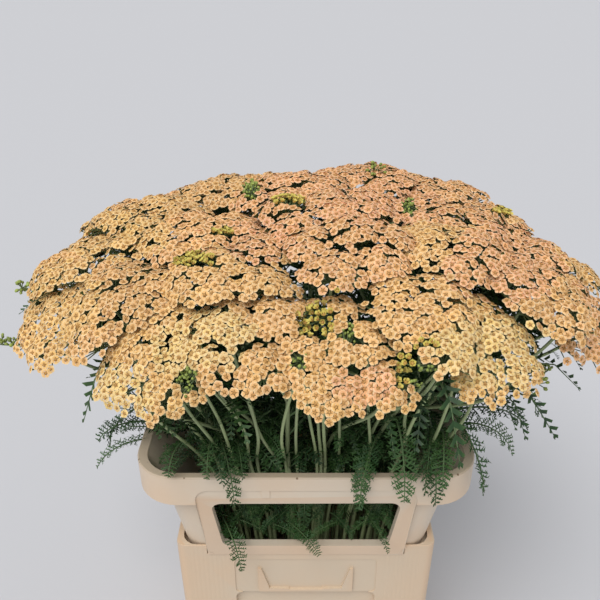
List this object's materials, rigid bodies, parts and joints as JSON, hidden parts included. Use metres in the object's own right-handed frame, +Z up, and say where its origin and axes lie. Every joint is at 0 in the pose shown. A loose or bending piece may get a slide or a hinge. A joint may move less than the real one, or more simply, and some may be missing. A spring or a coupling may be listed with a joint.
{
  "type": "potted yarrow",
  "caption": "Domed mass of flat peach and cream yarrow heads on leafy cut stalks, standing in a rectangular plastic flower bucket with a windowed collar.",
  "frame": {"origin": "middle of the bucket's flat base", "axes": "+Z up; -Y towards the front, where the card pocket and the seen window are; +X to the viewer's right"},
  "size_m": [0.591, 0.486, 0.6472],
  "materials": {
    "bucket_plastic": "moulded, slightly satin, warm beige",
    "collar_plastic": "moulded, slightly satin, paler cream",
    "stem_green": "matt, ridged, pale grey-green",
    "leaf_green": "matt, feathery, dark green",
    "petals": "matt, peach and cream with salmon and yellow patches"
  },
  "bodies": {
    "root": {"bucket": "bucket_plastic", "collar": "collar_plastic", "leafy_stem_01": "stem_green", "leafy_stem_02": "stem_green", "leafy_stem_03": "stem_green", "leafy_stem_04": "stem_green", "leafy_stem_05": "stem_green", "leafy_stem_06": "stem_green", "leafy_stem_07": "stem_green", "leafy_stem_08": "stem_green", "leafy_stem_09": "stem_green", "leafy_stem_10": "stem_green", "leafy_stem_11": "stem_green", "leafy_stem_12": "stem_green", "leafy_stem_13": "stem_green", "leafy_stem_14": "stem_green", "leafy_stem_15": "stem_green", "leafy_stem_16": "stem_green", "leafy_stem_17": "stem_green", "flower_head_01": "petals", "flower_head_02": "petals", "flower_head_03": "petals", "flower_head_04": "petals", "flower_head_05": "petals", "flower_head_06": "petals", "flower_head_07": "petals", "flower_head_08": "petals", "flower_head_09": "petals", "flower_head_10": "petals", "flower_head_11": "petals", "flower_head_12": "petals", "flower_head_13": "petals", "flower_head_14": "petals", "flower_head_15": "petals", "flower_head_16": "petals", "flower_head_17": "petals", "flower_head_18": "petals", "flower_head_19": "petals", "flower_head_20": "petals", "flower_head_21": "petals", "flower_head_22": "petals", "flower_head_23": "petals", "flower_head_24": "petals", "flower_head_25": "petals", "flower_head_26": "petals", "flower_head_27": "petals", "flower_head_28": "petals", "flower_head_29": "petals", "flower_head_30": "petals", "flower_head_31": "petals", "flower_head_32": "petals", "flower_head_33": "petals", "flower_head_34": "petals", "leaf_01": "leaf_green", "leaf_02": "leaf_green", "leaf_03": "leaf_green", "leaf_04": "leaf_green", "leaf_05": "leaf_green", "leaf_06": "leaf_green", "leaf_07": "leaf_green"}
  },
  "joints": []
}
